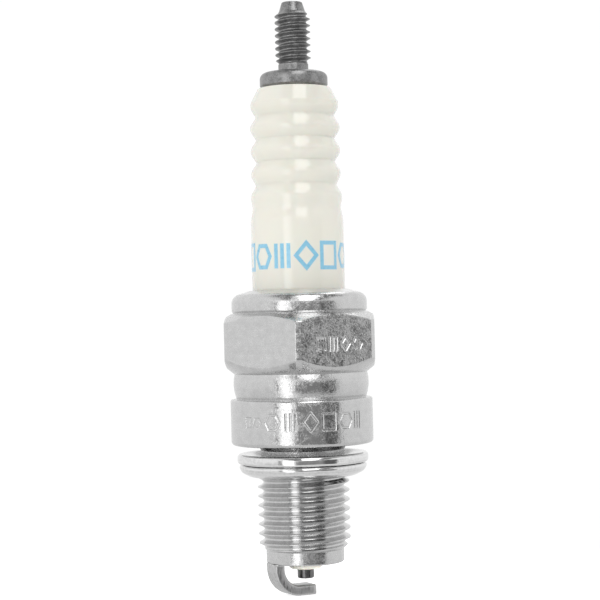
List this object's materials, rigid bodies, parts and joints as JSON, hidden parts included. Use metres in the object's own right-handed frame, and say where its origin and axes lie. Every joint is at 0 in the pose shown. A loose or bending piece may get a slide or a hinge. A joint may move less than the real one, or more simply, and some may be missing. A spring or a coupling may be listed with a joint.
{
  "type": "spark plug",
  "caption": "Small resistor spark plug with a ribbed white insulator, plated hex shell, fine thread, loose folded gasket and a bare threaded terminal stud.",
  "frame": {"origin": "centre of the metal shell's seat face, where the gasket bears", "axes": "+Z along the plug's axis, towards the terminal stud; a corner of the hexagon points about 1 degree from -Y"},
  "size_m": [0.016, 0.018, 0.0638],
  "materials": {
    "terminal_steel": "dark phosphated steel, satin",
    "glazed_alumina": "cream white gloss glaze",
    "nickel_plate": "bright nickel plate over steel",
    "gasket_plate": "bright plated folded sheet steel",
    "electrode_nickel": "satin nickel alloy",
    "copper": "bare copper",
    "glass_seal": "dark copper filled glass",
    "resistor_carbon": "black carbon and ceramic powder, fired",
    "talc": "pressed talc powder",
    "packing_steel": "plain steel wire"
  },
  "bodies": {
    "plug": {"terminal_stud": "terminal_steel", "insulator": "glazed_alumina", "metal_shell": "nickel_plate", "ground_electrode": "electrode_nickel", "center_electrode": "electrode_nickel", "center_electrode_core": "copper", "resistor": "resistor_carbon", "upper_glass_seal": "glass_seal", "lower_glass_seal": "glass_seal", "talc_packing": "talc", "upper_packing_ring": "packing_steel", "lower_packing_ring": "packing_steel", "seat_washer": "packing_steel"},
    "gasket": {"gasket": "gasket_plate"}
  },
  "joints": [
    {"name": "gasket_slide", "type": "slide", "parent": "plug", "child": "gasket", "axis": [0, 0, 1], "range_m": [0, 0.0009]}
  ]
}
